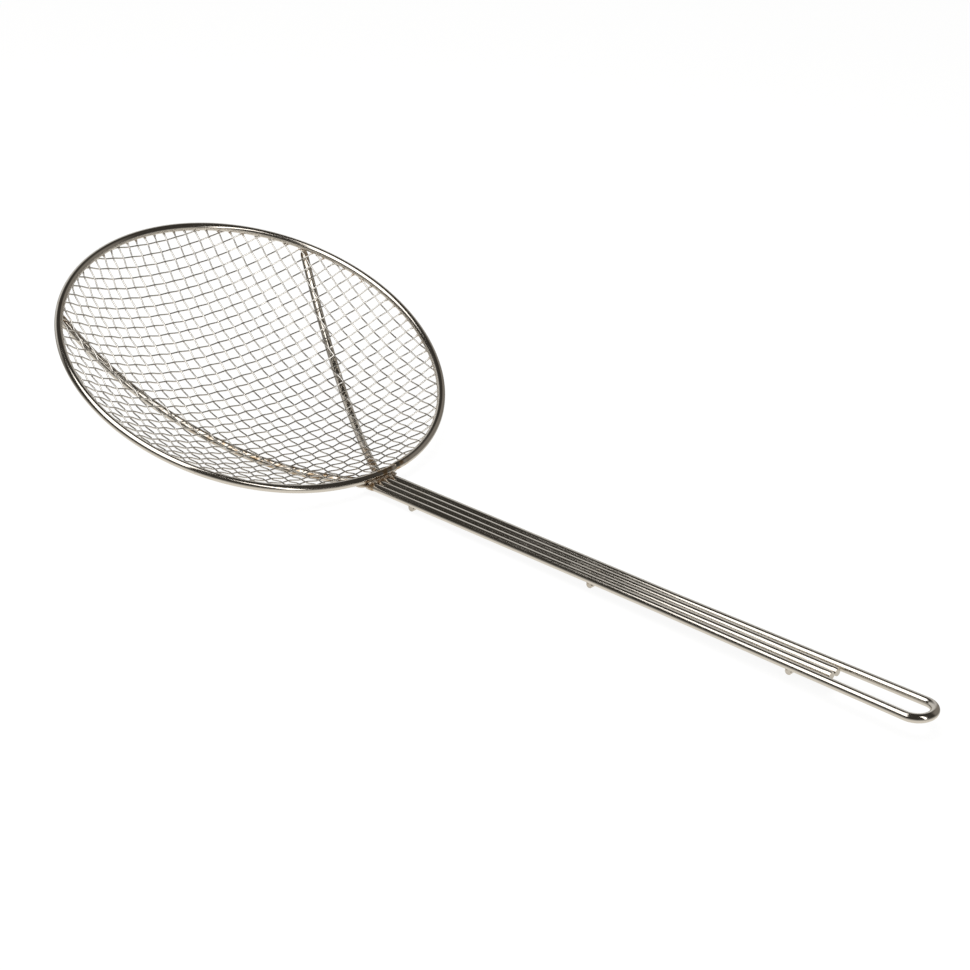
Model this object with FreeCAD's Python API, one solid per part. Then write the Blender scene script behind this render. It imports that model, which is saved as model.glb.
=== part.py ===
"""Wire mesh skimmer: a round hoop with a shallow woven dish, carried by a four-wire
handle whose two inner rods run on under the dish as ribs.

Millimetres. The model is first drawn in the hoop's own frame: the hoop lies in XY about
the origin, +Z is the open side of the dish and +X points at the handle. At the end it
is tipped on to the floor as it comes to rest, with +X along the handle and +Z up.
"""
import os
from math import acos, asin, atan2, ceil, cos, degrees, hypot, radians, sin, sqrt, tan

import FreeCAD, Part

V = FreeCAD.Vector

# Hoop: one round wire, bent to a ring and butt welded
HOOP_OUTER_D = 203.2
HOOP_WIRE_D = 4.2

# Handle wires and ribs, all of one wire
ROD_D = 4.2
WELD_GAP = 0.05              # welded wires lie this far apart

# Dish: woven wire pressed to a shallow bowl
DISH_DEPTH = 30.5            # hoop's centre plane to the middle of the weave
WEAVE_PLY = 1.0              # height of one layer of strands
PLY_BITE = 0.15              # how far the two layers sink into each other
STRAND_W = 1.9
STRAND_PITCH = 14.6
STRAND_TURN = -6.5           # degrees, turn of the weave about the bowl's axis

# Handle
HANDLE_LEN = 329.5           # hoop's outer edge to the tip of the loop
HANDLE_RISE = 23.8           # degrees between the hoop's plane and the handle
KNEE_REACH = 4.0             # from under the hoop out to the knee in the wires
KNEE_R = 12.0
TAIL_STOP = 1.3              # the outer wire's ends stop this far short of under the hoop
LOOP_LEN = 142.0             # from where the outer wires start to part to the tip
LOOP_R = 7.8                 # centre line of the hanging loop's bow
PART_R = 400.0               # gentle bend where the outer wires start to part
ROD_STOP = 52.5              # inner rods stop this far short of the tip

# Cross bars under the handle
BAR_D = 3.4
BAR_INSET = 0.6              # a bar ends this far inside the outer wires' centre lines
BAR_FIRST = 24.0             # from the knee to the first bar
BAR_STEP = 115.5
BAR_NAMES = ("cross_bar_front", "cross_bar_middle", "cross_bar_rear")

# Ribs: where each inner rod bends aside (inwards from under the hoop), where it ends on
# the hoop (degrees round from the handle) and how far its arc leans sideways (degrees)
RIB_BEND_R = 8.0
RIB_STOP = 1.0               # a rib's end stops this far short of under the hoop
RIB_LEFT = {"name": "rib_rod_left", "side": 1, "bend": 0.4, "azimuth": 123.8, "lean": -17.4}
RIB_RIGHT = {"name": "rib_rod_right", "side": -1, "bend": 3.0, "azimuth": 134.3, "lean": -5.0}

# Worked out from the sizes above
HOOP_R = (HOOP_OUTER_D - HOOP_WIRE_D) / 2
HOOP_WIRE_R = HOOP_WIRE_D / 2
ROD_R = ROD_D / 2
BAR_R = BAR_D / 2
ROD_PITCH = ROD_D + WELD_GAP
HOOP_SEAT = HOOP_WIRE_R + WELD_GAP + ROD_R        # hoop centre line to rod centre line
MESH_SEAT = WEAVE_PLY + WELD_GAP + ROD_R          # middle of the weave to rod centre line
MESH_DROP = HOOP_SEAT - MESH_SEAT                 # hoop centre line to middle of the weave

# The bowl is a cap of a ball: radius of the weave's middle, its centre, its half angle
BOWL_R = (HOOP_R**2 + DISH_DEPTH**2 - MESH_DROP**2) / (2 * (DISH_DEPTH - MESH_DROP))
BOWL_C = V(0, 0, BOWL_R - DISH_DEPTH)
BOWL_ANGLE = asin(HOOP_R / (BOWL_R - MESH_DROP))
RIB_BALL_R = BOWL_R + MESH_SEAT

# Under the hoop, where the handle leaves: foot point, slope along the bowl, handle's line
ALONG_BOWL = V(cos(BOWL_ANGLE), 0, sin(BOWL_ANGLE))
FOOT = BOWL_C + V(sin(BOWL_ANGLE), 0, -cos(BOWL_ANGLE)) * RIB_BALL_R
KNEE = FOOT + ALONG_BOWL * KNEE_REACH
ALONG_HANDLE = V(cos(radians(HANDLE_RISE)), 0, sin(radians(HANDLE_RISE)))
HANDLE_UP = V(-sin(radians(HANDLE_RISE)), 0, cos(radians(HANDLE_RISE)))
ACROSS = V(0, 1, 0)
HOOP_EDGE_L = (V(HOOP_R, 0, 0) - KNEE).dot(ALONG_HANDLE) + HOOP_WIRE_R
TIP_L = HOOP_EDGE_L + HANDLE_LEN - ROD_R          # loop's centre line at its tip

# The outer wire's legs: where they start to part, where the loop's bow begins, the angle
LEG_Y = 1.5 * ROD_PITCH
PART_L = TIP_L - LOOP_LEN
BOW_L = TIP_L - LOOP_R
SPREAD = asin(LOOP_R / hypot(BOW_L - PART_L, LEG_Y)) - atan2(LEG_Y, BOW_L - PART_L)


def on_handle(along, across, up=0.0):
    """A point of the handle, from the knee: along it, to its left and above it."""
    return KNEE + ALONG_HANDLE * along + ACROSS * across + HANDLE_UP * up


def unit(vector):
    return vector * (1.0 / vector.Length)


def rounded(before, corner, after, radius):
    """Start, middle and end of the arc that rounds a corner of a wire's route."""
    back, on = unit(before - corner), unit(after - corner)
    half = acos(back.dot(on)) / 2
    middle_way = unit(back + on)
    centre = corner + middle_way * (radius / sin(half))
    reach = radius / tan(half)
    return corner + back * reach, centre - middle_way * radius, corner + on * reach


def route(start, corners, end):
    """Edges of a route: straight runs joined by tangent arcs at (corner, radius)."""
    points = [start] + [corner for corner, _ in corners] + [end]
    edges, at = [], start
    for i, (corner, radius) in enumerate(corners):
        first, middle, last = rounded(points[i], corner, points[i + 2], radius)
        edges.append(Part.LineSegment(at, first).toShape())
        edges.append(Part.Arc(first, middle, last).toShape())
        at = last
    edges.append(Part.LineSegment(at, end).toShape())
    return edges


def bent_wire(edges, radius):
    """A round wire along a route, as one solid."""
    path = Part.Wire(edges)
    start = path.OrderedVertexes[0].Point
    heading = path.OrderedEdges[0].tangentAt(path.OrderedEdges[0].FirstParameter)
    section = Part.Wire(Part.Circle(start, heading, radius).toShape())
    return path.makePipeShell([section], True, False)


def make_hoop():
    return Part.makeTorus(HOOP_R, HOOP_WIRE_R)


def bowl_point(radius, angle):
    """A point of the bowl's profile, in the XZ plane, at an angle from straight down."""
    return BOWL_C + V(sin(angle), 0, -cos(angle)) * radius


def bowl_layer(inner, outer):
    """A cap-shaped wall between two radii, its edge hollowed to sit round the hoop's wire."""
    hoop_ball = BOWL_R - MESH_DROP
    seat = HOOP_WIRE_R + WELD_GAP
    edge = []
    for radius in (inner, outer):
        back = acos((radius**2 + hoop_ball**2 - seat**2) / (2 * radius * hoop_ball))
        edge.append(BOWL_ANGLE - back)
    low, high = bowl_point(outer, edge[1]), bowl_point(inner, edge[0])
    hoop_centre = V(HOOP_R, 0, 0)
    hollow = hoop_centre + unit((low + high) * 0.5 - hoop_centre) * seat
    outline = Part.Wire([
        Part.LineSegment(bowl_point(inner, 0), bowl_point(outer, 0)).toShape(),
        Part.Arc(bowl_point(outer, 0), bowl_point(outer, edge[1] / 2), low).toShape(),
        Part.Arc(low, hollow, high).toShape(),
        Part.Arc(high, bowl_point(inner, edge[0] / 2), bowl_point(inner, 0)).toShape(),
    ])
    return Part.Face(outline).revolve(V(0, 0, 0), V(0, 0, 1), 360)


def strand_places():
    """Distances of the strands from the bowl's axis, none of them over its lowest point."""
    count = ceil((HOOP_R - STRAND_PITCH / 2 - 0.9 * STRAND_PITCH) / STRAND_PITCH)
    right = [(i + 0.5) * STRAND_PITCH for i in range(count)]
    return [-place for place in reversed(right)] + right


def make_dish():
    """Strands that cross in two layers: ridges one way on top, the other way below."""
    upper = bowl_layer(BOWL_R - WEAVE_PLY, BOWL_R + PLY_BITE)
    lower = bowl_layer(BOWL_R - PLY_BITE, BOWL_R + WEAVE_PLY)
    reach = HOOP_OUTER_D
    deep = DISH_DEPTH + 2 * WEAVE_PLY
    strands = []
    for layer, turn in ((upper, STRAND_TURN + 90), (lower, STRAND_TURN)):
        for place in strand_places():
            slab = Part.makeBox(reach, STRAND_W, 2 * deep, V(-reach / 2, place - STRAND_W / 2, -deep))
            slab.rotate(V(0, 0, 0), V(0, 0, 1), turn)
            strands.append(layer.common(slab))
    return strands[0].multiFuse(strands[1:]).removeSplitter()


def make_handle_wire():
    """The outer wire: two legs welded under the hoop and bent round to the hanging loop."""
    sides = []
    for side in (1, -1):
        tail = FOOT + ALONG_BOWL * TAIL_STOP + ACROSS * (side * LEG_Y)
        knee = on_handle(0, side * LEG_Y)
        parting = on_handle(PART_L, side * LEG_Y)
        bow = on_handle(BOW_L - LOOP_R * sin(SPREAD), side * LOOP_R * cos(SPREAD))
        sides.append(route(tail, [(knee, KNEE_R), (parting, PART_R)], bow))
    ends = [side[-1].Vertexes[-1].Point for side in sides]
    loop = Part.Arc(ends[0], on_handle(TIP_L, 0), ends[1]).toShape()
    return bent_wire(sides[0] + [loop] + sides[1][::-1], ROD_R)


def rib_route(rib):
    """An inner rod: down the handle, under the hoop, then round the bowl's underside."""
    rod_y = rib["side"] * ROD_PITCH / 2
    azimuth = radians(rib["azimuth"]) * rib["side"]
    polar = BOWL_ANGLE - RIB_STOP / RIB_BALL_R
    end = BOWL_C + V(sin(polar) * cos(azimuth), sin(polar) * sin(azimuth), -cos(polar)) * RIB_BALL_R

    corner = FOOT - ALONG_BOWL * rib["bend"] + ACROSS * rod_y

    # A leaning plane through the corner and the end cuts the ball in the rib's circle
    chord = end - corner
    upright = unit(chord.cross(V(0, 0, 1))) * rib["side"]
    normal = FreeCAD.Rotation(chord, rib["lean"] * rib["side"]).multVec(upright)
    off_centre = (corner - BOWL_C).dot(normal)
    centre = BOWL_C + normal * off_centre
    radius = sqrt(RIB_BALL_R**2 - off_centre**2)

    # From the corner a straight run meets that circle as its tangent
    out = unit(corner - centre)
    side = unit((end - centre) - out * (end - centre).dot(out))
    opening = acos(radius / (corner - centre).Length)
    touch = centre + (out * cos(opening) + side * sin(opening)) * radius
    halfway = centre + unit((touch - centre) + (end - centre)) * radius

    stop = on_handle(TIP_L - ROD_STOP, rod_y)
    knee = on_handle(0, rod_y)
    edges = route(stop, [(knee, KNEE_R), (corner, RIB_BEND_R)], touch)
    return edges + [Part.Arc(touch, halfway, end).toShape()]


def bar_centre(number):
    return on_handle(BAR_FIRST + number * BAR_STEP, 0, -(ROD_R + WELD_GAP + BAR_R))


def make_cross_bar(number):
    """A short bar welded across all four wires, as long as they lie wide at its place."""
    parted = max(0.0, BAR_FIRST + number * BAR_STEP - PART_L)
    half = LEG_Y + parted * tan(SPREAD) - BAR_INSET
    return Part.makeCylinder(BAR_R, 2 * half, bar_centre(number) - ACROSS * half, ACROSS)


def lowest(points, tilt):
    """Height of the lowest of some points once the hoop is tipped by this angle."""
    return min(point.z * cos(tilt) - point.x * sin(tilt) for point in points)


def rest_tilt(rib_points, bar_points):
    """Tilt at which the ribs and the lowest cross bar stand on one floor."""
    low, high = 0.0, radians(60)
    for _ in range(60):
        tilt = (low + high) / 2
        if lowest(rib_points, tilt) - ROD_R > lowest(bar_points, tilt) - BAR_R:
            high = tilt
        else:
            low = tilt
    return (low + high) / 2


def main():
    ribs = {rib["name"]: rib_route(rib) for rib in (RIB_LEFT, RIB_RIGHT)}
    nodes = {"rim_hoop": make_hoop(), "mesh_dish": make_dish(), "handle_wire": make_handle_wire()}
    for name, edges in ribs.items():
        nodes[name] = bent_wire(edges, ROD_R)
    for number, name in enumerate(BAR_NAMES):
        nodes[name] = make_cross_bar(number)

    # Tip the skimmer on to the floor, and centre it over the origin
    rib_points = [point for edges in ribs.values() for point in edges[-1].discretize(90)]
    bar_points = [bar_centre(number) for number in range(len(BAR_NAMES))]
    tilt = rest_tilt(rib_points, bar_points)
    floor = lowest(bar_points, tilt) - BAR_R
    tip = on_handle(TIP_L, 0)
    far_x = -HOOP_R * cos(tilt) - HOOP_WIRE_R
    near_x = tip.x * cos(tilt) + tip.z * sin(tilt) + ROD_R
    shift = V(-(far_x + near_x) / 2, 0, -floor)

    os.makedirs("parts", exist_ok=True)
    for name, shape in nodes.items():
        shape.rotate(V(0, 0, 0), ACROSS, degrees(tilt))
        shape.translate(shift)
        shape.exportStep("parts/" + name + ".step")
        box = shape.BoundBox
        print(name, len(shape.Solids), shape.isValid(), round(shape.Volume, 1),
              [round(value, 2) for value in (box.XMin, box.YMin, box.ZMin, box.XMax, box.YMax, box.ZMax)])
    print("tilt", round(degrees(tilt), 3), "bowl radius", round(BOWL_R, 2))


main()
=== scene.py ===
import math

import bpy
from mathutils import Matrix, Vector, noise


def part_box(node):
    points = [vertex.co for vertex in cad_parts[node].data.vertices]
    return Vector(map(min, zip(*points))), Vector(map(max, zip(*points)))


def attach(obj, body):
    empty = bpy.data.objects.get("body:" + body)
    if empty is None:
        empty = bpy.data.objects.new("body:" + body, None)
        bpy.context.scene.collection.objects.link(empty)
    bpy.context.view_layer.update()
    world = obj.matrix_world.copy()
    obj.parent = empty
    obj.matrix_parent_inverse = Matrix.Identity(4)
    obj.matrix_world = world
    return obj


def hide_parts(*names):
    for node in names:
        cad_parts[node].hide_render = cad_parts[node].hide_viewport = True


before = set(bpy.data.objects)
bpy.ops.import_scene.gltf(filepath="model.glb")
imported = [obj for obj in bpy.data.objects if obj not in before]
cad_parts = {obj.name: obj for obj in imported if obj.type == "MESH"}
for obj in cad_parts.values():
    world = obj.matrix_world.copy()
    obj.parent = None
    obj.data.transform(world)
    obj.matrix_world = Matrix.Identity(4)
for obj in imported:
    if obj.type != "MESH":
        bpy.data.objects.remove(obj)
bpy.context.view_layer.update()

# Rim hoop: one steel wire of 4.2 mm, bright plated, rolled to a ring and butt
# welded close to the handle. The ring stands out a little beside that weld, where
# the roll began, and its two ends meet with a small step.

# Lengths are in millimetres in the hoop's own frame: x to the handle, z out of the dish.
MM = 0.001
HOOP_R = 99.5
WIRE_D = 4.2
WIRE_SIDES = 24
WELD_GAP = 0.05
SHARP_EDGE = math.radians(50)
REST_TILT = math.radians(22.912)
BUTT_AT, BUTT_GAP = 6.3, 0.04   # degrees round from the handle
BUTT_STEP = 0.35
BUTT_FADE = 7.0                 # degrees over which the step is lost again
BUTT_RISE = 0.7                 # the share of the step that goes up as well
BULGE = 1.3
BULGE_FROM, BULGE_TOP, BULGE_TO = -14.0, 20.0, 72.0
RING_STEPS = 360

hoop_low, hoop_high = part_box("rim_hoop")
HOOP_CENTRE = (hoop_low + hoop_high) / 2


def at_rest(point):
    """A point given in millimetres in the hoop's own plane, as the skimmer lies on the floor."""
    x, y, z = point
    across, drop = math.cos(REST_TILT), math.sin(REST_TILT)
    return HOOP_CENTRE + Vector((x * across + z * drop, y, z * across - x * drop)) * MM


def hoop_bulge(degrees):
    """How far the ring stands out of a true circle, in millimetres."""
    turn = (degrees + 180.0) % 360.0 - 180.0
    side = BULGE_FROM if turn < BULGE_TOP else BULGE_TO
    share = (turn - BULGE_TOP) / (side - BULGE_TOP)
    return BULGE * (1 + math.cos(math.pi * min(1.0, share))) / 2


def add(tree, kind, settings=None, **sockets):
    """One node. A list gives several sockets of one name, a socket makes a link."""
    node = tree.nodes.new(kind)
    for name, value in (settings or {}).items():
        setattr(node, name, value)
    for name, value in sockets.items():
        places = [s for s in node.inputs if s.enabled and s.name.replace(" ", "_") == name]
        values = value if isinstance(value, list) else [value]
        for place, given in zip(places, values):
            if isinstance(given, bpy.types.NodeSocket):
                tree.links.new(given, place)
            elif given is not None:
                place.default_value = given
    return node


def new_tree(name, kind, inputs, outputs):
    """A node tree with its named inputs and outputs, and the two nodes that hold them."""
    tree = bpy.data.node_groups.new(name, kind)
    for label, socket, default in inputs:
        made = tree.interface.new_socket(label, in_out="INPUT", socket_type=socket)
        if default is not None:
            made.default_value = default
    for label, socket in outputs:
        tree.interface.new_socket(label, in_out="OUTPUT", socket_type=socket)
    return tree, tree.nodes.new("NodeGroupInput"), tree.nodes.new("NodeGroupOutput")


# Geometry Nodes: a round wire drawn along a path, as thick as the path's girth says.
wire_tree, wire_in, wire_out = new_tree(
    "Round wire",
    "GeometryNodeTree",
    [
        ("Geometry", "NodeSocketGeometry", None),
        ("Diameter", "NodeSocketFloat", WIRE_D * MM),
        ("Sides", "NodeSocketInt", WIRE_SIDES),
        ("Crimp", "NodeSocketFloat", 0.0),
        ("Ball Centre", "NodeSocketVector", None),
        ("Material", "NodeSocketMaterial", None),
    ],
    [("Geometry", "NodeSocketGeometry")],
)
wire_path = add(wire_tree, "GeometryNodeMeshToCurve", Mesh=wire_in.outputs["Geometry"])
lift = add(wire_tree, "GeometryNodeInputNamedAttribute", {"data_type": "FLOAT"}, Name="lift")
place = add(wire_tree, "GeometryNodeInputPosition")
from_centre = add(
    wire_tree, "ShaderNodeVectorMath", {"operation": "SUBTRACT"},
    Vector=[wire_in.outputs["Ball Centre"], place.outputs[0]],
)
inward = add(
    wire_tree, "ShaderNodeVectorMath", {"operation": "NORMALIZE"}, Vector=from_centre.outputs[0]
)
rise = add(
    wire_tree, "ShaderNodeMath", {"operation": "MULTIPLY"},
    Value=[lift.outputs[0], wire_in.outputs["Crimp"]],
)
push = add(
    wire_tree, "ShaderNodeVectorMath", {"operation": "SCALE"},
    Vector=inward.outputs[0], Scale=rise.outputs[0],
)
crimped = add(
    wire_tree, "GeometryNodeSetPosition", Geometry=wire_path.outputs[0], Offset=push.outputs[0]
)
run_length = add(wire_tree, "GeometryNodeSplineParameter")
kept_run = add(
    wire_tree, "GeometryNodeStoreNamedAttribute", {"data_type": "FLOAT", "domain": "POINT"},
    Geometry=crimped.outputs[0], Name="run", Value=run_length.outputs["Length"],
)
half = add(
    wire_tree, "ShaderNodeMath", {"operation": "MULTIPLY"}, Value=[wire_in.outputs["Diameter"], 0.5]
)
round_section = add(
    wire_tree, "GeometryNodeCurvePrimitiveCircle",
    Resolution=wire_in.outputs["Sides"], Radius=half.outputs[0],
)
kept_section = add(
    wire_tree, "GeometryNodeStoreNamedAttribute",
    {"data_type": "FLOAT_VECTOR", "domain": "POINT"},
    Geometry=round_section.outputs[0], Name="section", Value=place.outputs[0],
)
girth = add(wire_tree, "GeometryNodeInputNamedAttribute", {"data_type": "FLOAT"}, Name="girth")
swept = add(
    wire_tree, "GeometryNodeCurveToMesh",
    Curve=kept_run.outputs[0], Profile_Curve=kept_section.outputs[0],
    Scale=girth.outputs[0], Fill_Caps=True,
)
smooth = add(wire_tree, "GeometryNodeSetShadeSmooth", Geometry=swept.outputs[0], Shade_Smooth=True)
real = add(wire_tree, "GeometryNodeRealizeInstances", Geometry=smooth.outputs[0])
dressed = add(
    wire_tree, "GeometryNodeSetMaterial",
    Geometry=real.outputs[0], Material=wire_in.outputs["Material"],
)
wire_tree.links.new(dressed.outputs[0], wire_out.inputs[0])


def baked(name, mesh, tree, values):
    """The plain mesh that a node tree makes of a path, as a new piece."""
    maker = bpy.data.objects.new(name + "_path", mesh)
    bpy.context.scene.collection.objects.link(maker)
    modifier = maker.modifiers.new("maker", "NODES")
    modifier.node_group = tree
    for item in tree.interface.items_tree:
        if item.in_out == "INPUT" and item.name in values:
            modifier[item.identifier] = values[item.name]
    graph = bpy.context.evaluated_depsgraph_get()
    made = bpy.data.meshes.new_from_object(maker.evaluated_get(graph), depsgraph=graph)
    bpy.data.objects.remove(maker)
    made.name = name
    made.set_sharp_from_angle(angle=SHARP_EDGE)
    piece = bpy.data.objects.new(name, made)
    bpy.context.scene.collection.objects.link(piece)
    return piece


def path_mesh(name, runs, **point_values):
    """A mesh of one or more open lines, with a value for every point."""
    points = [p for run in runs for p in run]
    edges, start = [], 0
    for run in runs:
        edges += [(start + i, start + i + 1) for i in range(len(run) - 1)]
        start += len(run)
    mesh = bpy.data.meshes.new(name)
    mesh.from_pydata(points, edges, [])
    for label, values in point_values.items():
        mesh.attributes.new(label, "FLOAT", "POINT").data.foreach_set("value", values)
    return mesh


def heat_from(points, sources):
    """How much each point was heated: 1 at a weld, fading with distance over its reach."""
    return [
        max(math.exp(-(((p - at_rest(place)).length / (reach * MM)) ** 2)) * strength
            for place, reach, strength in sources)
        for p in points
    ]


def cut_ends(points, depth=0.5, edge=0.86):
    """The girth of a sheared wire: full, with a slightly rounded edge at both ends."""
    values = []
    for p in points:
        end = min((p - points[0]).length, (p - points[-1]).length) / MM
        fullness = 1.0 if end >= depth else math.sqrt(1 - (1 - end / depth) ** 2)
        values.append(edge + (1 - edge) * fullness)
    return values


def scale_for(tree, size):
    """The scale that gives a pattern features of this size."""
    return add(tree, "ShaderNodeMath", {"operation": "DIVIDE"}, Value=[1.0, size]).outputs[0]


# Shader groups: what every plated wire here shows.
drawn_tree, drawn_in, drawn_out = new_tree(
    "Drawn wire lines",
    "ShaderNodeTree",
    [
        ("Run", "NodeSocketFloat", 0.0),
        ("Section", "NodeSocketVector", None),
        ("Line Width", "NodeSocketFloat", 0.0006),
        ("Line Length", "NodeSocketFloat", 0.06),
    ],
    [("Lines", "NodeSocketFloat")],
)
fine = scale_for(drawn_tree, drawn_in.outputs["Line Width"])
long = add(
    drawn_tree, "ShaderNodeMath", {"operation": "DIVIDE"},
    Value=[drawn_in.outputs["Run"], drawn_in.outputs["Line Length"]],
)
spread = add(
    drawn_tree, "ShaderNodeVectorMath", {"operation": "SCALE"},
    Vector=drawn_in.outputs["Section"], Scale=fine,
)
parts = add(drawn_tree, "ShaderNodeSeparateXYZ", Vector=spread.outputs[0])
laid = add(
    drawn_tree, "ShaderNodeCombineXYZ",
    X=parts.outputs[0], Y=parts.outputs[1], Z=long.outputs[0],
)
lines = add(
    drawn_tree, "ShaderNodeTexNoise",
    Vector=laid.outputs[0], Scale=1.0, Detail=2.0, Roughness=0.6,
)
drawn_tree.links.new(lines.outputs["Fac"], drawn_out.inputs["Lines"])

heat_tree, heat_in, heat_out = new_tree(
    "Weld heat tint",
    "ShaderNodeTree",
    [
        ("Heat", "NodeSocketFloat", 0.0),
        ("Place", "NodeSocketVector", None),
        ("Metal", "NodeSocketColor", (0.62, 0.57, 0.5, 1)),
        ("Straw", "NodeSocketColor", (0.4, 0.28, 0.16, 1)),
        ("Burnt", "NodeSocketColor", (0.11, 0.07, 0.04, 1)),
        ("Patch Size", "NodeSocketFloat", 0.003),
    ],
    [("Color", "NodeSocketColor"), ("Mask", "NodeSocketFloat")],
)
patch_scale = scale_for(heat_tree, heat_in.outputs["Patch Size"])
patches = add(
    heat_tree, "ShaderNodeTexNoise",
    Vector=heat_in.outputs["Place"], Scale=patch_scale, Detail=1.5, Roughness=0.45,
)
around = add(
    heat_tree, "ShaderNodeMapRange", {"clamp": True},
    Value=patches.outputs["Fac"], From_Min=0.35, From_Max=0.65, To_Min=0.15, To_Max=1.25,
)
uneven = add(
    heat_tree, "ShaderNodeMath", {"operation": "MULTIPLY", "use_clamp": True},
    Value=[heat_in.outputs["Heat"], around.outputs[0]],
)
tint = add(
    heat_tree, "ShaderNodeMapRange", {"clamp": True, "interpolation_type": "SMOOTHSTEP"},
    Value=uneven.outputs[0], From_Min=0.1, From_Max=0.75,
)
burn = add(
    heat_tree, "ShaderNodeMapRange", {"clamp": True, "interpolation_type": "SMOOTHSTEP"},
    Value=uneven.outputs[0], From_Min=0.5, From_Max=1.0,
)
warm = add(
    heat_tree, "ShaderNodeMix", {"data_type": "RGBA"},
    Factor=tint.outputs[0], A=heat_in.outputs["Metal"], B=heat_in.outputs["Straw"],
)
scorched = add(
    heat_tree, "ShaderNodeMix", {"data_type": "RGBA"},
    Factor=burn.outputs[0], A=warm.outputs[2], B=heat_in.outputs["Burnt"],
)
heat_tree.links.new(scorched.outputs[2], heat_out.inputs["Color"])
heat_tree.links.new(tint.outputs[0], heat_out.inputs["Mask"])

wear_tree, wear_in, wear_out = new_tree(
    "Handling wear",
    "ShaderNodeTree",
    [
        ("Place", "NodeSocketVector", None),
        ("Spot Size", "NodeSocketFloat", 0.0022),
        ("Cloud Size", "NodeSocketFloat", 0.02),
        ("Amount", "NodeSocketFloat", 0.3),
    ],
    [("Spots", "NodeSocketFloat"), ("Clouds", "NodeSocketFloat")],
)
spot_scale = scale_for(wear_tree, wear_in.outputs["Spot Size"])
cloud_scale = scale_for(wear_tree, wear_in.outputs["Cloud Size"])
spots = add(
    wear_tree, "ShaderNodeTexNoise",
    Vector=wear_in.outputs["Place"], Scale=spot_scale, Detail=2.0, Roughness=0.5,
)
clouds = add(
    wear_tree, "ShaderNodeTexNoise",
    Vector=wear_in.outputs["Place"], Scale=cloud_scale, Detail=3.0, Roughness=0.55,
)
# More wear lowers the level from which the noise counts as a spot.
least = add(
    wear_tree, "ShaderNodeMath", {"operation": "SUBTRACT"},
    Value=[0.8, wear_in.outputs["Amount"]],
)
worn = add(
    wear_tree, "ShaderNodeMapRange", {"clamp": True, "interpolation_type": "SMOOTHSTEP"},
    Value=spots.outputs["Fac"], From_Min=least.outputs[0], From_Max=0.85,
)
wear_tree.links.new(worn.outputs[0], wear_out.inputs["Spots"])
wear_tree.links.new(clouds.outputs["Fac"], wear_out.inputs["Clouds"])


def plated_metal(name, metal, shine, line_width, wear, straw=None, bump=0.02):
    """Bright plated steel: drawn lines, cloudy shine, small worn spots and heat tint."""
    worn_shade = (0.55, 0.5, 0.44, 1)
    worn_roughness, burnt_roughness = 0.22, 0.16
    worn_relief, relief_depth = 0.4, 0.00006
    made = bpy.data.materials.new(name)
    made.use_nodes = True
    tree = made.node_tree
    tree.nodes.clear()
    coords = add(tree, "ShaderNodeTexCoord")
    run = add(tree, "ShaderNodeAttribute", {"attribute_name": "run"})
    section = add(tree, "ShaderNodeAttribute", {"attribute_name": "section"})
    heat = add(tree, "ShaderNodeAttribute", {"attribute_name": "weld_heat"})
    lines = add(
        tree, "ShaderNodeGroup", {"node_tree": drawn_tree},
        Run=run.outputs["Fac"], Section=section.outputs["Vector"], Line_Width=line_width,
    )
    spots = add(
        tree, "ShaderNodeGroup", {"node_tree": wear_tree},
        Place=coords.outputs["Object"], Amount=wear,
    )
    warmth = add(
        tree, "ShaderNodeGroup", {"node_tree": heat_tree},
        Heat=heat.outputs["Fac"], Place=coords.outputs["Object"], Metal=metal, Straw=straw,
    )
    dull = add(
        tree, "ShaderNodeMix", {"data_type": "RGBA", "blend_type": "MULTIPLY"},
        Factor=spots.outputs["Spots"], A=warmth.outputs["Color"], B=worn_shade,
    )
    cloud = add(
        tree, "ShaderNodeMapRange",
        Value=spots.outputs["Clouds"], From_Min=0.3, From_Max=0.7,
        To_Min=shine * 0.75, To_Max=shine * 1.3,
    )
    spotted = add(
        tree, "ShaderNodeMath", {"operation": "MULTIPLY_ADD"},
        Value=[spots.outputs["Spots"], worn_roughness, cloud.outputs[0]],
    )
    rough = add(
        tree, "ShaderNodeMath", {"operation": "MULTIPLY_ADD", "use_clamp": True},
        Value=[warmth.outputs["Mask"], burnt_roughness, spotted.outputs[0]],
    )
    height = add(
        tree, "ShaderNodeMath", {"operation": "MULTIPLY_ADD"},
        Value=[spots.outputs["Spots"], worn_relief, lines.outputs["Lines"]],
    )
    relief = add(
        tree, "ShaderNodeBump", Strength=bump, Distance=relief_depth, Height=height.outputs[0]
    )
    surface = add(
        tree, "ShaderNodeBsdfPrincipled",
        Base_Color=dull.outputs[2], Metallic=1.0,
        Roughness=rough.outputs[0], Normal=relief.outputs[0],
    )
    add(tree, "ShaderNodeOutputMaterial", Surface=surface.outputs[0])
    return made


bright_wire = plated_metal(
    "bright_plated_wire", (0.62, 0.585, 0.535, 1), shine=0.13, line_width=0.0005, wear=0.08
)


def hoop_point(degrees):
    """A point of the ring's centre line. One end lies a little inside the other at the weld."""
    from_butt = (degrees - BUTT_AT) % 360.0
    step = BUTT_STEP * math.exp(-from_butt / BUTT_FADE)
    angle = math.radians(degrees)
    radius = HOOP_R + hoop_bulge(degrees) - step
    return at_rest((radius * math.cos(angle), radius * math.sin(angle), step * BUTT_RISE))


ring = [
    hoop_point(BUTT_AT + BUTT_GAP / 2 + i * (360.0 - BUTT_GAP) / RING_STEPS)
    for i in range(RING_STEPS + 1)
]
butt_turn = math.radians(BUTT_AT)
butt = (HOOP_R * math.cos(butt_turn), HOOP_R * math.sin(butt_turn), 0.0)
LEFT_RIB_END, RIGHT_RIB_END = (-55.9, 82.4), (-69.7, -71.3)
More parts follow.
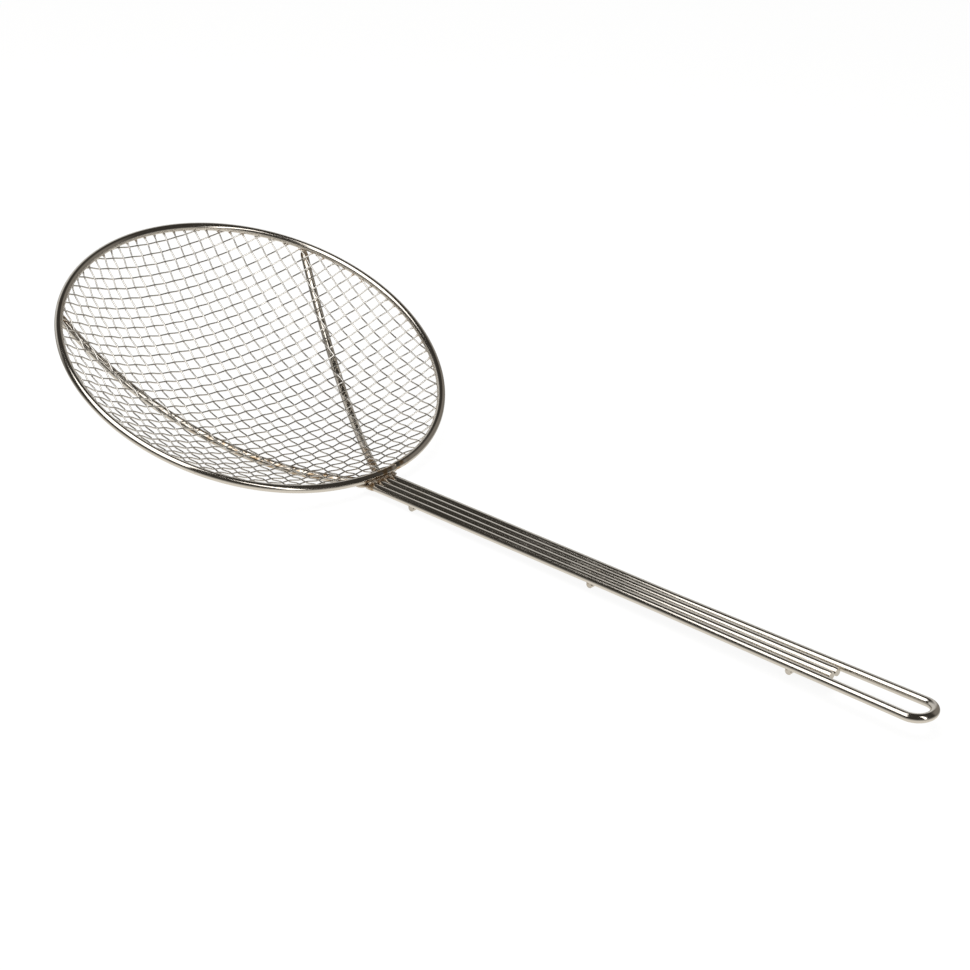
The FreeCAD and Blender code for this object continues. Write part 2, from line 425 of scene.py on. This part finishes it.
# Each heated place, how far the heat reached from it and how strong it was.
HOOP_HEAT = [
    (butt, 10.0, 0.65),
    ((HOOP_R, 0, -2), 13.0, 0.6),
    ((*LEFT_RIB_END, -2), 5.0, 0.3),
    ((*RIGHT_RIB_END, -2), 5.0, 0.3),
]
ring_mesh = path_mesh(
    "rim_path", [ring],
    girth=cut_ends(ring, depth=0.4), weld_heat=heat_from(ring, HOOP_HEAT),
)
HEAVY_WIRE = {"Diameter": WIRE_D * MM, "Sides": WIRE_SIDES, "Material": bright_wire}
rim = baked("rim_ring", ring_mesh, wire_tree, HEAVY_WIRE)
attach(rim, "root")
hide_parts("rim_hoop")

# Woven dish: square woven cloth of thin plated steel wire, pressed to a shallow
# bowl. Every wire is crimped over and under the next, and the cut ends are
# soldered to the inside of the hoop, where the solder leaves a small web.

BOWL_R = 184.17
DISH_DEPTH = 30.5
CLOTH_WIRE_D = 0.78
CLOTH_WIRE_SIDES = 8
CRIMP = 0.38
CREST = 0.94                    # at 1 the wire would zigzag with sharp crests
CLOTH_REACH = 98.9
CELLS_OUT, WIRES_OUT = 22, 20
STEPS_PER_CELL = 6
EDGE_STEP = 0.05
EDGE_CRIMP = 0.6
SOLDER_GIRTH, SOLDER_REACH = 1.3, 1.2
STAIN, STAIN_REACH = 0.5, 2.6
ball_centre = Vector((0, 0, BOWL_R - DISH_DEPTH))

# The pull of the cloth, fitted to the crossings in the photograph. Each term is a factor
# in cells and the powers of u and v, which are a place's x and y over FIT_REACH.
FIT_REACH = 80.0
FIT_ROUNDS = 12
FIRST_CELLS, OTHER_CELLS = 13.2, 12.39
FIRST_PULL = (
    (-0.11, 0, 0), (-1.31, 0, 1), (0.34, 0, 2), (-0.19, 0, 3), (0.07, 1, 1),
    (0.18, 2, 0), (0.03, 1, 2), (-0.37, 2, 1), (0.8, 3, 0),
)
OTHER_PULL = (
    (-0.35, 0, 0), (1.42, 1, 0), (-0.17, 2, 0), (-0.19, 3, 0), (-0.19, 1, 1),
    (-0.16, 0, 2), (0.02, 1, 2), (0.55, 2, 1), (0.57, 0, 3),
)


def pull(terms, u, v):
    """How many cells the cloth is pulled aside at a place."""
    return sum(factor * u**i * v**j for factor, i, j in terms)


def crossing(a, b):
    """Where wire a of the first lay meets wire b of the other, in the pulled cloth."""
    u = v = 0.0
    for _ in range(FIT_ROUNDS):
        first, other = pull(FIRST_PULL, u, v), pull(OTHER_PULL, u, v)
        u, v = (a - first) / FIRST_CELLS, (b - other) / OTHER_CELLS
    return u * FIT_REACH, v * FIT_REACH


def cloth_reach(x, y):
    """How far out the cloth goes in the direction of a point."""
    return CLOTH_REACH + hoop_bulge(math.degrees(math.atan2(y, x)))


def on_bowl(x, y):
    """A point of the cloth's middle."""
    return Vector((x, y, ball_centre.z - math.sqrt(BOWL_R**2 - x * x - y * y)))


def cloth_wire(number, lay):
    """One wire's points, how high its crimp lifts them, its thickness and its solder stain."""
    points, lifts = [], []
    side = 1 if (number + lay) % 2 else -1
    for i in range(-CELLS_OUT * STEPS_PER_CELL, CELLS_OUT * STEPS_PER_CELL + 1):
        other = i / STEPS_PER_CELL
        x, y = crossing(number, other) if lay == 0 else crossing(other, number)
        if math.hypot(x, y) > cloth_reach(x, y):
            continue
        wave = math.asin(CREST * math.cos(math.pi * other)) / math.asin(CREST)
        points.append(on_bowl(x, y))
        lifts.append(side * wave)
    if len(points) < 4:
        return None
    for end, inner in ((0, 1), (-1, -2)):
        at = points[end].copy()
        heading = (at - points[inner]).normalized()
        while math.hypot(at.x, at.y) < cloth_reach(at.x, at.y):
            at += heading * EDGE_STEP
        points.insert(0 if end == 0 else len(points), at)
        lifts.insert(0 if end == 0 else len(lifts), lifts[end] * EDGE_CRIMP)
    girths, burns = [], []
    for p in points:
        end = min((p - points[0]).length, (p - points[-1]).length)
        girths.append(1.0 + SOLDER_GIRTH * math.exp(-((end / SOLDER_REACH) ** 2)))
        burns.append(STAIN * math.exp(-((end / STAIN_REACH) ** 2)))
    return [at_rest(p) for p in points], lifts, girths, burns


cloth_metal = plated_metal(
    "bright_plated_cloth", (0.72, 0.7, 0.67, 1), shine=0.2, line_width=0.0003, wear=0.1, bump=0.04
)
for lay, name in ((0, "cloth_wires_across"), (1, "cloth_wires_along")):
    made = [w for w in (cloth_wire(n, lay) for n in range(-WIRES_OUT, WIRES_OUT + 1)) if w]
    runs = [w[0] for w in made]
    lifts = [value for w in made for value in w[1]]
    girths = [value for w in made for value in w[2]]
    burns = [value for w in made for value in w[3]]
    cloth_mesh = path_mesh(name + "_path", runs, lift=lifts, girth=girths, weld_heat=burns)
    cloth = baked(name, cloth_mesh, wire_tree, {
        "Diameter": CLOTH_WIRE_D * MM, "Sides": CLOTH_WIRE_SIDES, "Crimp": CRIMP * MM,
        "Ball Centre": at_rest(ball_centre), "Material": cloth_metal,
    })
    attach(cloth, "root")
    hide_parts("mesh_dish")

# Handle wire: one long plated steel wire of 4.2 mm, a leg down each side of the
# handle, bent round at the far end to the loop it hangs by. Both its ends are
# welded under the hoop.

ROD_R = WIRE_D / 2
ROD_PITCH = WIRE_D + WELD_GAP
WIRE_ROWS = (-1.5, -0.5, 0.5, 1.5)
HANDLE_LEN = 329.5
HANDLE_RISE = math.radians(23.8)
KNEE_REACH, KNEE_R = 4.0, 12.0
MESH_DROP = 1.1                 # from the hoop's centre line down to the cloth's middle
WEAVE_PLY = 1.0                 # half the height that the solids keep for the cloth
LEG_OVERRUN = 1.5               # how far the legs run on past their foot under the hoop
LOOP_LEN, LOOP_R, PART_R = 142.0, 7.8, 400.0
BOW_MARGIN = 0.05
BOW_STEPS = 30
BOWL_ANGLE = math.asin(HOOP_R / (BOWL_R - MESH_DROP))
RIB_BALL_R = BOWL_R + WEAVE_PLY + WELD_GAP + ROD_R
ALONG_BOWL = Vector((math.cos(BOWL_ANGLE), 0, math.sin(BOWL_ANGLE)))
FOOT = ball_centre + Vector((math.sin(BOWL_ANGLE), 0, -math.cos(BOWL_ANGLE))) * RIB_BALL_R
KNEE = FOOT + ALONG_BOWL * KNEE_REACH
ALONG_HANDLE = Vector((math.cos(HANDLE_RISE), 0, math.sin(HANDLE_RISE)))
HANDLE_UP = Vector((-math.sin(HANDLE_RISE), 0, math.cos(HANDLE_RISE)))
TIP_L = (Vector((HOOP_R, 0, 0)) - KNEE).dot(ALONG_HANDLE) + HANDLE_LEN
LEG_Y = 1.5 * ROD_PITCH
PART_L = TIP_L - LOOP_LEN
BOW_L = TIP_L - LOOP_R - BOW_MARGIN
SPREAD = math.asin(LOOP_R / math.hypot(BOW_L - PART_L, LEG_Y)) - math.atan2(LEG_Y, BOW_L - PART_L)


def on_handle(along, across, up=0.0):
    """A point of the handle, from the knee: along it, to its left and above it."""
    return KNEE + ALONG_HANDLE * along + Vector((0, across, 0)) + HANDLE_UP * up


def bent(corners, radii, step=2.0, bend_step=1.2):
    """A wire's centre line: straight runs, with a bend of the given radius at each corner."""
    line, at = [], corners[0]
    for i, radius in enumerate(radii):
        corner = corners[i + 1]
        back = (corners[i] - corner).normalized()
        on = (corners[i + 2] - corner).normalized()
        half = back.angle(on) / 2
        centre = corner + (back + on).normalized() * (radius / math.sin(half))
        start = corner + back * (radius / math.tan(half))
        count = max(1, round((start - at).length / step))
        line += [at.lerp(start, n / count) for n in range(count)]
        sweep = math.pi - 2 * half
        count = max(3, round(radius * sweep / bend_step))
        axis = back.cross(on)
        for n in range(count + 1):
            turn = Matrix.Rotation(-sweep * n / count, 3, axis)
            line.append(centre + turn @ (start - centre))
        at = line.pop()
    count = max(1, round((corners[-1] - at).length / step))
    return line + [at.lerp(corners[-1], n / count) for n in range(count + 1)]


def hand_straightened(points, size=0.06, waves=0.018, shift=3.0):
    """The line with the small waves that are left in a wire straightened by hand.

    This noise isn't seeded and starts from the clock, so the waves differ from run to run.
    """
    return [p + noise.noise_vector(p * waves + Vector((shift, 0, 0))) * size for p in points]


def leg(side):
    """From under the hoop to where the loop's bow begins."""
    corners = [
        FOOT - ALONG_BOWL * LEG_OVERRUN + Vector((0, side * LEG_Y, 0)),
        on_handle(0, side * LEG_Y),
        on_handle(PART_L, side * LEG_Y),
        on_handle(BOW_L - LOOP_R * math.sin(SPREAD), side * LOOP_R * math.cos(SPREAD)),
    ]
    return bent(corners, [KNEE_R, PART_R])


bow = []
for n in range(1, BOW_STEPS):
    turn = math.pi / 2 + SPREAD - n * (math.pi + 2 * SPREAD) / BOW_STEPS
    bow.append(on_handle(BOW_L + LOOP_R * math.cos(turn), LOOP_R * math.sin(turn)))
long_wire = [at_rest(p) for p in hand_straightened(leg(1) + bow + leg(-1)[::-1])]
BAR_PLACES = [24.0, 140.5, 255.5]
JUNCTION_HEAT = [((101.0, row * ROD_PITCH, -2.0), 7.0, 0.8) for row in WIRE_ROWS]
BAR_HEAT = [(on_handle(along, 0, -4.0), 7.0, 0.35) for along in BAR_PLACES]
handle_mesh = path_mesh(
    "handle_path", [long_wire],
    girth=cut_ends(long_wire), weld_heat=heat_from(long_wire, JUNCTION_HEAT + BAR_HEAT),
)
handle = baked("handle_long_wire", handle_mesh, wire_tree, HEAVY_WIRE)
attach(handle, "root")
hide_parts("handle_wire")

# Rib rods: the two inner wires of the handle, of the same plated steel. Each runs
# from its sheared end down the handle, turns aside under the hoop and follows
# the dish's underside, to be welded under the hoop's far part.

ROD_STOP = 49.5                 # how far the rods' sheared ends stop short of the loop's tip
RIB_BEND_R = 8.0
RIB_STOP = 1.0                  # how far short of the hoop's underside a rib aims
RIB_CUT = 1.3                   # how much more of its end is cut off
RIB_STEPS = 90
# Piece, node, side, bend inwards from the foot, degrees round the hoop, degrees of lean.
RIBS = (
    ("rib_left", "rib_rod_left", 1, 0.4, 123.8, -17.4),
    ("rib_right", "rib_rod_right", -1, 3.0, 134.3, -5.0),
)


def rib_line(side, bend, azimuth, lean):
    """The rod's centre line, from the handle's end to the far end of the rib."""
    rod_y = side * ROD_PITCH / 2
    polar = BOWL_ANGLE - RIB_STOP / RIB_BALL_R
    turn = math.radians(azimuth) * side
    end = ball_centre + Vector((
        math.sin(polar) * math.cos(turn), math.sin(polar) * math.sin(turn), -math.cos(polar)
    )) * RIB_BALL_R
    corner = FOOT - ALONG_BOWL * bend + Vector((0, rod_y, 0))
    chord = end - corner
    upright = chord.cross(Vector((0, 0, 1))).normalized() * side
    normal = Matrix.Rotation(math.radians(lean) * side, 3, chord) @ upright
    off = (corner - ball_centre).dot(normal)
    centre = ball_centre + normal * off
    radius = math.sqrt(RIB_BALL_R**2 - off**2)
    out = (corner - centre).normalized()
    sideways = ((end - centre) - out * (end - centre).dot(out)).normalized()
    opening = math.acos(min(1.0, radius / (corner - centre).length))
    last = math.atan2((end - centre).dot(sideways), (end - centre).dot(out)) - RIB_CUT / radius
    touch = centre + (out * math.cos(opening) + sideways * math.sin(opening)) * radius
    corners = [on_handle(TIP_L - ROD_STOP, rod_y), on_handle(0, rod_y), corner, touch]
    line = bent(corners, [KNEE_R, RIB_BEND_R])
    for n in range(1, RIB_STEPS + 1):
        t = opening + (last - opening) * n / RIB_STEPS
        line.append(centre + (out * math.cos(t) + sideways * math.sin(t)) * radius)
    return line


RIB_HEAT = {
    1: [
        ((86, 4, -11), 24.0, 0.75),
        ((*LEFT_RIB_END, -3), 9.0, 0.8),
    ],
    -1: [
        ((88, -12, -12), 26.0, 0.75),
        ((50, -27, -23), 60.0, 0.5),
        ((*RIGHT_RIB_END, -3), 9.0, 0.8),
    ],
}
for name, node, side, bend, azimuth, lean in RIBS:
    rod = [at_rest(p) for p in hand_straightened(rib_line(side, bend, azimuth, lean))]
    rod_mesh = path_mesh(
        name + "_path", [rod],
        girth=cut_ends(rod), weld_heat=heat_from(rod, JUNCTION_HEAT + BAR_HEAT + RIB_HEAT[side]),
    )
    rib = baked(name, rod_mesh, wire_tree, HEAVY_WIRE)
    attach(rib, "root")
    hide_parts(node)

# Cross bars: three short bars of 3.4 mm plated steel wire, sheared to length and
# resistance welded across the underside of the handle's four wires.

BAR_D = 3.4
BAR_SIDES = 20
BAR_INSET = 0.6                 # a bar ends this far inside the outer wires' centre lines
BAR_STEPS = 12
BAR_EDGE, BAR_EDGE_SHARE = 0.88, 0.3
BAR_WARMTH = 0.25


def parted(along):
    """How far each outer wire has left its straight line, at this place along the handle."""
    return max(0.0, along - PART_L) * math.tan(SPREAD)


for name, along in zip(("front", "middle", "rear"), BAR_PLACES):
    reach = LEG_Y + parted(along) - BAR_INSET
    depth = -(ROD_R + WELD_GAP + BAR_D / 2)
    bar = [
        at_rest(on_handle(along, -reach + 2 * reach * n / BAR_STEPS, depth))
        for n in range(BAR_STEPS + 1)
    ]
    bar[1:1] = [bar[0].lerp(bar[1], BAR_EDGE_SHARE)]
    bar[-1:-1] = [bar[-1].lerp(bar[-2], BAR_EDGE_SHARE)]
    bar_mesh = path_mesh(
        name + "_bar_path", [bar],
        girth=[BAR_EDGE] + [1.0] * (len(bar) - 2) + [BAR_EDGE],
        weld_heat=[BAR_WARMTH] * len(bar),
    )
    cross = baked("bar_" + name, bar_mesh, wire_tree, {
        "Diameter": BAR_D * MM, "Sides": BAR_SIDES, "Material": bright_wire,
    })
    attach(cross, "root")
    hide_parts("cross_bar_" + name)

# Weld metal: the steel beads left where the four wires were welded under the hoop,
# a long one beside the right leg, and small ones at the cross bars and at the ribs'
# ends. The heat left them scaled and brown.

bead_tree, bead_in, bead_out = new_tree(
    "Weld beads",
    "GeometryNodeTree",
    [
        ("Geometry", "NodeSocketGeometry", None),
        ("Roundness", "NodeSocketInt", 3),
        ("Lump Size", "NodeSocketFloat", 0.0024),
        ("Lump Height", "NodeSocketFloat", 0.00012),
        ("Material", "NodeSocketMaterial", None),
    ],
    [("Geometry", "NodeSocketGeometry")],
)
ball = add(
    bead_tree, "GeometryNodeMeshIcoSphere",
    Radius=1.0, Subdivisions=bead_in.outputs["Roundness"],
)
spread_size = add(
    bead_tree, "GeometryNodeInputNamedAttribute", {"data_type": "FLOAT_VECTOR"}, Name="bead_size"
)
turned = add(
    bead_tree, "GeometryNodeInputNamedAttribute", {"data_type": "FLOAT_VECTOR"}, Name="bead_turn"
)
laid_beads = add(
    bead_tree, "GeometryNodeInstanceOnPoints",
    Points=bead_in.outputs["Geometry"], Instance=ball.outputs[0],
    Rotation=turned.outputs[0], Scale=spread_size.outputs[0],
)
solid_beads = add(bead_tree, "GeometryNodeRealizeInstances", Geometry=laid_beads.outputs[0])
spot = add(bead_tree, "GeometryNodeInputPosition")
outward = add(bead_tree, "GeometryNodeInputNormal")
lump_scale = scale_for(bead_tree, bead_in.outputs["Lump Size"])
lumps = add(
    bead_tree, "ShaderNodeTexNoise", Vector=spot.outputs[0], Scale=lump_scale, Detail=2.0
)
lump = add(
    bead_tree, "ShaderNodeMath", {"operation": "SUBTRACT"}, Value=[lumps.outputs["Fac"], 0.5]
)
lump_push = add(
    bead_tree, "ShaderNodeMath", {"operation": "MULTIPLY"},
    Value=[lump.outputs[0], bead_in.outputs["Lump Height"]],
)
lump_way = add(
    bead_tree, "ShaderNodeVectorMath", {"operation": "SCALE"},
    Vector=outward.outputs[0], Scale=lump_push.outputs[0],
)
lumpy = add(
    bead_tree, "GeometryNodeSetPosition",
    Geometry=solid_beads.outputs[0], Offset=lump_way.outputs[0],
)
round_beads = add(
    bead_tree, "GeometryNodeSetShadeSmooth", Geometry=lumpy.outputs[0], Shade_Smooth=True
)
all_real = add(bead_tree, "GeometryNodeRealizeInstances", Geometry=round_beads.outputs[0])
painted = add(
    bead_tree, "GeometryNodeSetMaterial",
    Geometry=all_real.outputs[0], Material=bead_in.outputs["Material"],
)
bead_tree.links.new(painted.outputs[0], bead_out.inputs[0])

burnt_metal = plated_metal(
    "burnt_weld_metal", (0.6, 0.54, 0.46, 1), shine=0.5, line_width=0.002, wear=0.0,
    straw=(0.34, 0.235, 0.14, 1),
)
SEAM_BEADS, SEAM_STEP, SEAM_MIDDLE = 8, 2.0, 3.1
# Rows of the seam: how far out from the hoop's centre line, height, half sizes, heat.
SEAM_ROWS = (
    (3.9, -0.4, (0.9, 1.8, 0.7), 0.6),
    (2.3, -1.0, (1.6, 2.0, 0.9), 0.2),
    (-1.6, -2.6, (1.4, 2.1, 0.9), 0.5),
)
LONG_BEAD = (HOOP_R - 0.3, -LEG_Y - 3.6, -3.2)
LONG_BEAD_SIZE, LONG_BEAD_HEAT, LONG_BEAD_LEAN = (1.8, 5.9, 1.5), 0.1, -24.0
BAR_DROP = -(ROD_R + WELD_GAP / 2)
BAR_BEAD_SIZE, BAR_BEAD_HEAT = (0.9, 0.9, 0.3), 0.35
RIB_BEAD_DROP, RIB_BEAD_SIZE, RIB_BEAD_HEAT = -2.4, (2.2, 1.9, 0.9), 0.7

# Each bead: its centre, half sizes, heat and lean in degrees.
beads = []
for n in range(SEAM_BEADS):
    y = (n - SEAM_MIDDLE) * SEAM_STEP
    seam_x = math.sqrt(HOOP_R**2 - y * y)
    for outward_by, height, size, heat in SEAM_ROWS:
        beads.append((Vector((seam_x + outward_by, y, height)), size, heat, 0.0))
beads.append((Vector(LONG_BEAD), LONG_BEAD_SIZE, LONG_BEAD_HEAT, LONG_BEAD_LEAN))
for along in BAR_PLACES:
    for row in WIRE_ROWS:
        aside = parted(along) * (abs(row) > 1) * (1 if row > 0 else -1)
        centre = on_handle(along, row * ROD_PITCH + aside, BAR_DROP)
        beads.append((centre, BAR_BEAD_SIZE, BAR_BEAD_HEAT, 0.0))
for _, _, side, _, azimuth, _ in RIBS:
    turn = math.radians(azimuth * side)
    centre = Vector((HOOP_R * math.cos(turn), HOOP_R * math.sin(turn), RIB_BEAD_DROP))
    beads.append((centre, RIB_BEAD_SIZE, RIB_BEAD_HEAT, 0.0))
bead_mesh = bpy.data.meshes.new("beads_path")
bead_mesh.from_pydata([at_rest(b[0]) for b in beads], [], [])
sizes = [value * MM for b in beads for value in b[1]]
bead_mesh.attributes.new("bead_size", "FLOAT_VECTOR", "POINT").data.foreach_set("vector", sizes)
turns = [value for b in beads for value in (math.radians(b[3]), REST_TILT, 0.0)]
bead_mesh.attributes.new("bead_turn", "FLOAT_VECTOR", "POINT").data.foreach_set("vector", turns)
heats = [b[2] for b in beads]
bead_mesh.attributes.new("weld_heat", "FLOAT", "POINT").data.foreach_set("value", heats)
weld_beads = baked("weld_beads", bead_mesh, bead_tree, {"Roundness": 3, "Material": burnt_metal})
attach(weld_beads, "root")

# Floor, studio light and camera: a white sweep that the skimmer lies on, a large
# soft lamp above it, a narrow one past the handle's end, a fill that the metal
# doesn't mirror, and a dark room with one dim and one pale wall.

FLOOR_HALF = 6
FLOOR_GLOW = 0.92               # the share of the floor's colour that no shadow darkens


def lamp(name, place, turns, width, height, watts, colour):
    """A soft lamp over the skimmer. It shows in the metal and not in the picture."""
    light = bpy.data.lights.new(name, "AREA")
    light.shape = "RECTANGLE"
    light.size, light.size_y = width, height
    light.energy = watts
    light.color = colour
    stand = bpy.data.objects.new(name, light)
    stand.location = place
    stand.rotation_euler = turns
    stand.visible_camera = False
    bpy.context.scene.collection.objects.link(stand)
    return stand


lamp(
    "key_lamp", place=(-0.196, -0.367, 0.608), turns=(0.590, 0.318, 0.512),
    width=0.714, height=0.78, watts=4.35, colour=(1.0, 0.99, 0.97),
)
lamp(
    "strip_lamp", place=(1.26, -0.184, 0.734), turns=(0.0, 1.082, -0.14),
    width=1.7, height=0.24, watts=4.5, colour=(1.0, 0.98, 0.95),
)
fill_lamp = lamp(
    "fill_lamp", place=(0.1, -0.3, 1.9), turns=(0.16, 0.0, 0.0),
    width=1.6, height=1.6, watts=58.0, colour=(1.0, 0.99, 0.97),
)
fill_lamp.visible_glossy = False

floor_mesh = bpy.data.meshes.new("floor")
floor_corners = [
    (x * FLOOR_HALF, y * FLOOR_HALF, 0) for x, y in ((-1, -1), (1, -1), (1, 1), (-1, 1))
]
floor_mesh.from_pydata(floor_corners, [], [(0, 1, 2, 3)])
floor = bpy.data.objects.new("floor", floor_mesh)
bpy.context.scene.collection.objects.link(floor)
floor_paper = bpy.data.materials.new("white_sweep")
floor_paper.use_nodes = True
tree = floor_paper.node_tree
tree.nodes.clear()
matt = add(tree, "ShaderNodeBsdfDiffuse", Color=(0.85, 0.85, 0.85, 1))
path_kind = add(tree, "ShaderNodeLightPath")
# In the metal the floor glows rather than being lit. That glow is painted darker towards grazing
# angles and tinted beige, which is painted shade in the floor's reflection. The camera sees plain
# white.
steepness = add(tree, "ShaderNodeLayerWeight", Blend=0.5)
underneath = add(
    tree, "ShaderNodeMapRange", {"clamp": True, "interpolation_type": "SMOOTHSTEP"},
    Value=steepness.outputs["Facing"], From_Min=0.88, From_Max=0.35, To_Min=0.13, To_Max=0.95,
)
level = add(
    tree, "ShaderNodeMix", {"data_type": "FLOAT"},
    Factor=path_kind.outputs["Is Glossy Ray"], A=1.0, B=underneath.outputs[0],
)
tone = add(
    tree, "ShaderNodeMix", {"data_type": "RGBA"},
    Factor=path_kind.outputs["Is Glossy Ray"], A=(1, 1, 1, 1), B=(1.0, 0.965, 0.89, 1),
)
white = add(tree, "ShaderNodeEmission", Color=tone.outputs[2], Strength=level.outputs[0])
seen = add(
    tree, "ShaderNodeMath", {"operation": "MAXIMUM"},
    Value=[path_kind.outputs["Is Camera Ray"], path_kind.outputs["Is Glossy Ray"]],
)
glow = add(
    tree, "ShaderNodeMath", {"operation": "MULTIPLY"}, Value=[seen.outputs[0], FLOOR_GLOW]
)
paper = add(
    tree, "ShaderNodeMixShader",
    Shader=[matt.outputs[0], white.outputs[0]], Fac=glow.outputs[0],
)
add(tree, "ShaderNodeOutputMaterial", Surface=paper.outputs[0])
floor_mesh.materials.append(floor_paper)

room = bpy.data.worlds.new("studio")
bpy.context.scene.world = room
room.use_nodes = True
tree = room.node_tree
tree.nodes.clear()
look = add(tree, "ShaderNodeTexCoord")
heights = add(tree, "ShaderNodeSeparateXYZ", Vector=look.outputs["Generated"])
room_look = (0.05, 0.046, 0.04, 1)
# Walls: the way they face in degrees, their full and faded edge, their top edge, their colour.
for way, inner, outer, low, high, shade in (
    (82, 0.88, 0.72, 0.7, 0.9, (0.27, 0.25, 0.225, 1)),
    (156, 0.82, 0.57, 0.42, 0.72, (0.8, 0.79, 0.77, 1)),
):
    way = math.radians(way)
    axis = add(
        tree, "ShaderNodeVectorMath", {"operation": "DOT_PRODUCT"},
        Vector=[look.outputs["Generated"], (math.cos(way), math.sin(way), 0.15)],
    )
    wall = add(
        tree, "ShaderNodeMapRange", {"clamp": True, "interpolation_type": "SMOOTHSTEP"},
        Value=axis.outputs["Value"], From_Min=outer, From_Max=inner,
    )
    top_edge = add(
        tree, "ShaderNodeMapRange", {"clamp": True, "interpolation_type": "SMOOTHSTEP"},
        Value=heights.outputs[2], From_Min=high, From_Max=low,
    )
    wall_part = add(
        tree, "ShaderNodeMath", {"operation": "MULTIPLY"},
        Value=[wall.outputs[0], top_edge.outputs[0]],
    )
    with_wall = add(
        tree, "ShaderNodeMix", {"data_type": "RGBA"},
        Factor=wall_part.outputs[0], A=room_look, B=shade,
    )
    room_look = with_wall.outputs[2]
kind = add(tree, "ShaderNodeLightPath")
backdrop = add(
    tree, "ShaderNodeMix", {"data_type": "RGBA"},
    Factor=kind.outputs["Is Camera Ray"], A=room_look, B=(1, 1, 1, 1),
)
sky = add(tree, "ShaderNodeBackground", Color=backdrop.outputs[2], Strength=1.0)
add(tree, "ShaderNodeOutputWorld", Surface=sky.outputs[0])

# The camera that fits the outlines of hoop, handle and loop in the photograph.
camera_data = bpy.data.cameras.new("photograph")
camera_data.sensor_width = 36.0
camera_data.lens = 91.223
camera = bpy.data.objects.new("photograph", camera_data)
right = Vector((0.71995, 0.69402, 0.00283))
up = Vector((-0.30900, 0.31687, 0.89673))
back = Vector((0.62146, -0.64647, 0.44259))
camera.matrix_world = Matrix((right, up, back)).transposed().to_4x4()
camera.location = HOOP_CENTRE + Vector((0.88887, -0.75286, 0.49592))
bpy.context.scene.collection.objects.link(camera)
bpy.context.scene.camera = camera
bpy.context.scene.view_settings.view_transform = "Standard"
